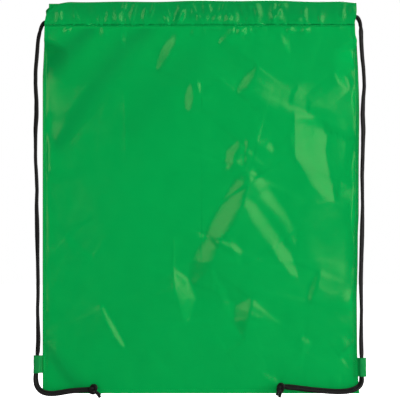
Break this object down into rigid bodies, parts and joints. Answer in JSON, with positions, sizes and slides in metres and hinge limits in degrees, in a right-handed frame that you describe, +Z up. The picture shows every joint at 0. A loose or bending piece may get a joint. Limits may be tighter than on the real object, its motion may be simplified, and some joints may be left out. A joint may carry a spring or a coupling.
{
  "type": "drawstring sack race bag",
  "caption": "Flat cloth sack with a drawstring channel round its mouth and cord straps that run through side tabs to knotted tails.",
  "frame": {"origin": "bottom centre of the whole row, level with the lowest cord end, midway between the two tabs and between front and back", "axes": "+Z up towards the mouth, +X to the right seen from the front, +Y towards the back"},
  "size_m": [0.3586, 0.023, 0.4255],
  "materials": {
    "cloth": "smooth woven polyester taffeta, slight sheen",
    "tape": "folded cloth tape",
    "thread": "matched sewing thread",
    "cord": "braided polyester cord"
  },
  "bodies": {
    "bag": {"front_panel": "cloth", "back_panel": "cloth", "front_channel": "cloth", "back_channel": "cloth", "front_channel_stitching": "thread", "back_channel_stitching": "thread", "bottom_needle_thread": "thread", "bottom_bobbin_thread": "thread", "left_side_needle_thread": "thread", "left_side_bobbin_thread": "thread", "left_tab": "tape", "left_tab_bartack_front": "thread", "left_tab_bartack_back": "thread", "right_side_needle_thread": "thread", "right_side_bobbin_thread": "thread", "right_tab": "tape", "right_tab_bartack_front": "thread", "right_tab_bartack_back": "thread"},
    "left_mouth_end": {"left_front_channel_hem": "cloth", "left_back_channel_hem": "cloth", "left_mouth_bartack": "thread"},
    "left_drawcord": {"left_cord_channel_run": "cord"},
    "left_strap": {"left_cord_strap": "cord"},
    "left_tab_cord": {"left_cord_tab_pass": "cord"},
    "left_tail": {"left_cord_tail": "cord", "left_knot": "cord", "left_cord_ends": "cord"},
    "right_mouth_end": {"right_front_channel_hem": "cloth", "right_back_channel_hem": "cloth", "right_mouth_bartack": "thread"},
    "right_drawcord": {"right_cord_channel_run": "cord"},
    "right_strap": {"right_cord_strap": "cord"},
    "right_tab_cord": {"right_cord_tab_pass": "cord"},
    "right_tail": {"right_cord_tail": "cord", "right_knot": "cord", "right_cord_ends": "cord"}
  },
  "joints": [
    {"name": "left_drawcord_pull", "type": "slide", "parent": "bag", "child": "left_drawcord", "axis": [-1, 0, 0], "range_m": [0, 0.08], "deforming": ["front_channel", "back_channel"]},
    {"name": "left_mouth_gather", "type": "slide", "parent": "bag", "child": "left_mouth_end", "axis": [1, 0, 0], "range_m": [0, 0.08]},
    {"name": "left_strap_swing", "type": "hinge", "parent": "left_drawcord", "child": "left_strap", "pos_m": [-0.173, 0, 0.3895], "axis": [0, -1, 0], "range_deg": [0, 13.87]},
    {"name": "left_tab_slip", "type": "hinge", "parent": "left_strap", "child": "left_tab_cord", "pos_m": [-0.1756, 0, 0.0515], "axis": [0, 1, 0], "range_deg": [0, 13.87]},
    {"name": "left_tail_swing", "type": "hinge", "parent": "left_tab_cord", "child": "left_tail", "pos_m": [-0.1762, 0, 0.0155], "axis": [0, 1, 0], "range_deg": [0, 90]},
    {"name": "right_drawcord_pull", "type": "slide", "parent": "bag", "child": "right_drawcord", "axis": [1, 0, 0], "range_m": [0, 0.08], "deforming": ["front_channel", "back_channel"]},
    {"name": "right_mouth_gather", "type": "slide", "parent": "bag", "child": "right_mouth_end", "axis": [-1, 0, 0], "range_m": [0, 0.08]},
    {"name": "right_strap_swing", "type": "hinge", "parent": "right_drawcord", "child": "right_strap", "pos_m": [0.1736, 0, 0.3935], "axis": [0, 1, 0], "range_deg": [0, 13.6]},
    {"name": "right_tab_slip", "type": "hinge", "parent": "right_strap", "child": "right_tab_cord", "pos_m": [0.1746, 0, 0.0489], "axis": [0, -1, 0], "range_deg": [0, 13.6]},
    {"name": "right_tail_swing", "type": "hinge", "parent": "right_tab_cord", "child": "right_tail", "pos_m": [0.1744, 0, 0.0125], "axis": [0, -1, 0], "range_deg": [0, 90]}
  ],
  "couplings": [
    {"joint": "left_mouth_gather", "follows": "left_drawcord_pull", "ratio": 1},
    {"joint": "left_strap_swing", "follows": "left_drawcord_pull", "rad_per_m": 2.9869},
    {"joint": "left_tab_slip", "follows": "left_drawcord_pull", "rad_per_m": 2.9869},
    {"joint": "right_drawcord_pull", "follows": "left_drawcord_pull", "ratio": 1},
    {"joint": "right_mouth_gather", "follows": "left_drawcord_pull", "ratio": 1},
    {"joint": "right_strap_swing", "follows": "left_drawcord_pull", "rad_per_m": 2.9286},
    {"joint": "right_tab_slip", "follows": "left_drawcord_pull", "rad_per_m": 2.9286}
  ]
}
